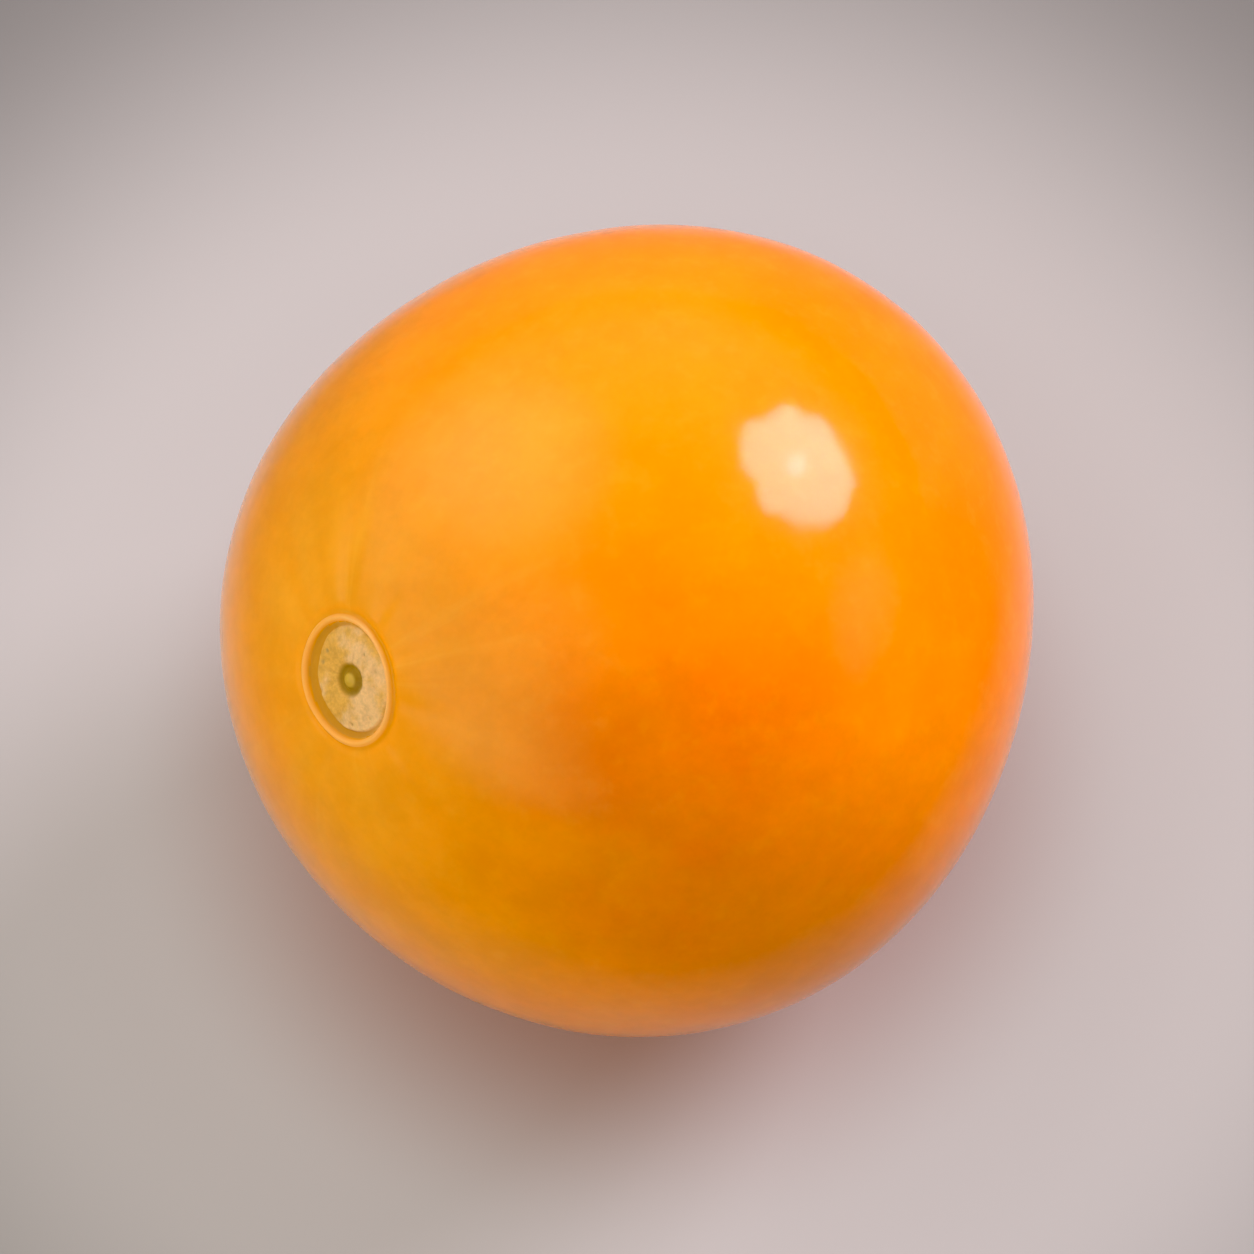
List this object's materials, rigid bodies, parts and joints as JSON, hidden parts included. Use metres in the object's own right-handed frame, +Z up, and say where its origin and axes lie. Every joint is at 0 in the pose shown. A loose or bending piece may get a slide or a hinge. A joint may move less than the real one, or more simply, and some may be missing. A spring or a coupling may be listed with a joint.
{
  "type": "physalis berry",
  "caption": "Ripe, husk-free physalis berry: a small glossy orange, slightly egg-shaped fruit with a round corky stem scar, lying on its side on a small flat.",
  "frame": {"origin": "on the surface that the berry lies on, under the middle of its bounding box", "axes": "+Z up; +X to the right and +Y away from the viewer as the picture shows the berry; the stem scar looks up and to the left, towards azimuth 209 degrees from +X and 39 degrees above level"},
  "size_m": [0.022, 0.022, 0.0214],
  "materials": {
    "berry_skin": "waxy, glossy, faintly see-through fruit skin, golden orange with a yellower stem end and a pale tan corky scar"
  },
  "bodies": {
    "root": {"berry": "berry_skin"}
  },
  "joints": []
}
